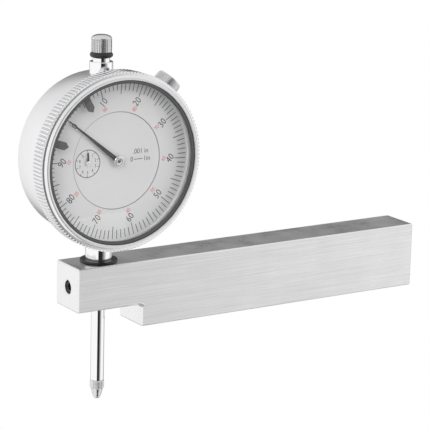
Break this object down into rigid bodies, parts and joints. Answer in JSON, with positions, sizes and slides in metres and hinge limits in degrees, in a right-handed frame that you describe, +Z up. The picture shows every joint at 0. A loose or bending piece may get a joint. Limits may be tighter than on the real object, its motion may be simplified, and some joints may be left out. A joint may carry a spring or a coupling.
{
  "type": "dial indicator on a gauge bar",
  "caption": "One-inch dial indicator clamped by its stem in the nose of a stepped gauge bar, with turning bezel, tolerance hands and a rack-and-gear movement.",
  "frame": {"origin": "middle of the bar's reference underside, the face that rests on the work", "axes": "+X along the bar away from the indicator, +Y to the back of the dial, +Z up out of the reference face, along the spindle"},
  "size_m": [0.165, 0.0243, 0.1314],
  "materials": {
    "bar_aluminium": "fine brushed along the bar",
    "case_metal": "satin",
    "bezel_metal": "satin, bright edges",
    "chrome": "polished",
    "steel": "turned",
    "blackened_steel": "black oxide",
    "black_rubber": "smooth",
    "seal_black": "semi-matte",
    "clear_crystal": "clear",
    "dial_silver": "matt silver with black and red print",
    "hand_black": "matt black",
    "hand_grey": "dark grey",
    "brass": "turned",
    "jewel_red": "clear red stone"
  },
  "bodies": {
    "bar": {"holder_bar": "bar_aluminium"},
    "stem_screw": {"stem_screw": "blackened_steel"},
    "stem_collar": {"stem_ring": "black_rubber"},
    "indicator": {"stem": "chrome", "stem_bush": "brass", "top_sleeve": "chrome", "sleeve_bush": "brass", "case_body": "case_metal", "back_cover": "case_metal", "cover_screws": "steel", "bezel_spring": "steel", "inner_dial": "dial_silver", "movement_plate": "brass", "front_bridge": "brass", "rear_bridge": "brass", "pillars": "brass", "bridge_screws": "steel", "plate_screws": "steel", "bearing_jewels": "jewel_red", "guide_rail": "steel", "spring_post": "steel", "return_spring": "steel", "hairspring": "steel", "hairspring_stud": "steel"},
    "bezel": {"bezel": "bezel_metal", "crystal": "clear_crystal", "crystal_seal": "seal_black", "outer_dial": "dial_silver"},
    "lower_tolerance": {"lower_tolerance_hand": "hand_grey"},
    "upper_tolerance": {"upper_tolerance_hand": "hand_grey"},
    "clamp_knob": {"bezel_clamp_screw": "chrome"},
    "clamp_shoe": {"clamp_shoe": "steel"},
    "plunger": {"rack_spindle": "chrome", "guide_pin": "steel", "contact_point": "steel", "lift_cap": "chrome", "cap_cushion": "black_rubber"},
    "drive_train": {"drive_arbor": "steel", "rack_pinion": "steel", "main_gear": "brass", "counter_pinion": "brass"},
    "centre_train": {"centre_arbor": "steel", "centre_pinion": "steel", "pointer": "hand_black", "pointer_hub": "chrome"},
    "counter_train": {"counter_arbor": "steel", "counter_gear": "brass", "counter_hand": "hand_black"},
    "takeup_train": {"takeup_arbor": "steel", "takeup_gear": "brass", "hairspring_collet": "brass"}
  },
  "joints": [
    {"name": "stem_screw_turn", "type": "hinge", "parent": "bar", "child": "stem_screw", "pos_m": [-0.0815, 0, 0.0159], "axis": [1, 0, 0], "range_deg": [-360, 0]},
    {"name": "indicator_height", "type": "slide", "parent": "bar", "child": "stem_collar", "axis": [0, 0, 1], "range_m": [0, 0.004]},
    {"name": "indicator_swivel", "type": "hinge", "parent": "stem_collar", "child": "indicator", "pos_m": [-0.0735, 0, 0.03], "axis": [0, 0, 1], "continuous": true},
    {"name": "bezel_turn", "type": "hinge", "parent": "indicator", "child": "bezel", "pos_m": [-0.0735, -0.0127, 0.0623], "axis": [0, 1, 0], "continuous": true},
    {"name": "lower_tolerance_turn", "type": "hinge", "parent": "bezel", "child": "lower_tolerance", "pos_m": [-0.0735, -0.0133, 0.0623], "axis": [0, 1, 0], "continuous": true},
    {"name": "upper_tolerance_turn", "type": "hinge", "parent": "bezel", "child": "upper_tolerance", "pos_m": [-0.0735, -0.0137, 0.0623], "axis": [0, 1, 0], "continuous": true},
    {"name": "bezel_clamp_turn", "type": "hinge", "parent": "indicator", "child": "clamp_knob", "pos_m": [-0.05087, -0.004, 0.08493], "axis": [0.7071, 0, 0.7071], "range_deg": [-90, 0]},
    {"name": "clamp_shoe_slide", "type": "slide", "parent": "indicator", "child": "clamp_shoe", "axis": [0, -1, 0], "range_m": [0, 0.00009]},
    {"name": "plunger_slide", "type": "slide", "parent": "indicator", "child": "plunger", "axis": [0, 0, 1], "range_m": [0, 0.0254], "stiffness_N_per_m": 30, "springref_m": -0.04, "deforming": ["return_spring"]},
    {"name": "drive_turn", "type": "hinge", "parent": "indicator", "child": "drive_train", "pos_m": [-0.07742, 0, 0.05096], "axis": [0, 1, 0], "range_deg": [-721, 0]},
    {"name": "centre_turn", "type": "hinge", "parent": "indicator", "child": "centre_train", "pos_m": [-0.0735, -0.005, 0.0623], "axis": [0, 1, 0], "range_deg": [0, 3602]},
    {"name": "counter_turn", "type": "hinge", "parent": "indicator", "child": "counter_train", "pos_m": [-0.0848, -0.005, 0.06226], "axis": [0, 1, 0], "range_deg": [0, 361]},
    {"name": "takeup_turn", "type": "hinge", "parent": "indicator", "child": "takeup_train", "pos_m": [-0.0636, -0.005, 0.06369], "axis": [0, 1, 0], "range_deg": [-901, 0]}
  ],
  "couplings": [
    {"joint": "drive_turn", "follows": "plunger_slide", "rad_per_m": -494.74},
    {"joint": "centre_turn", "follows": "plunger_slide", "rad_per_m": 2473.7},
    {"joint": "counter_turn", "follows": "plunger_slide", "rad_per_m": 247.37},
    {"joint": "takeup_turn", "follows": "plunger_slide", "rad_per_m": -618.42},
    {"joint": "clamp_shoe_slide", "follows": "bezel_clamp_turn", "m_per_rad": -0.00005093}
  ]
}
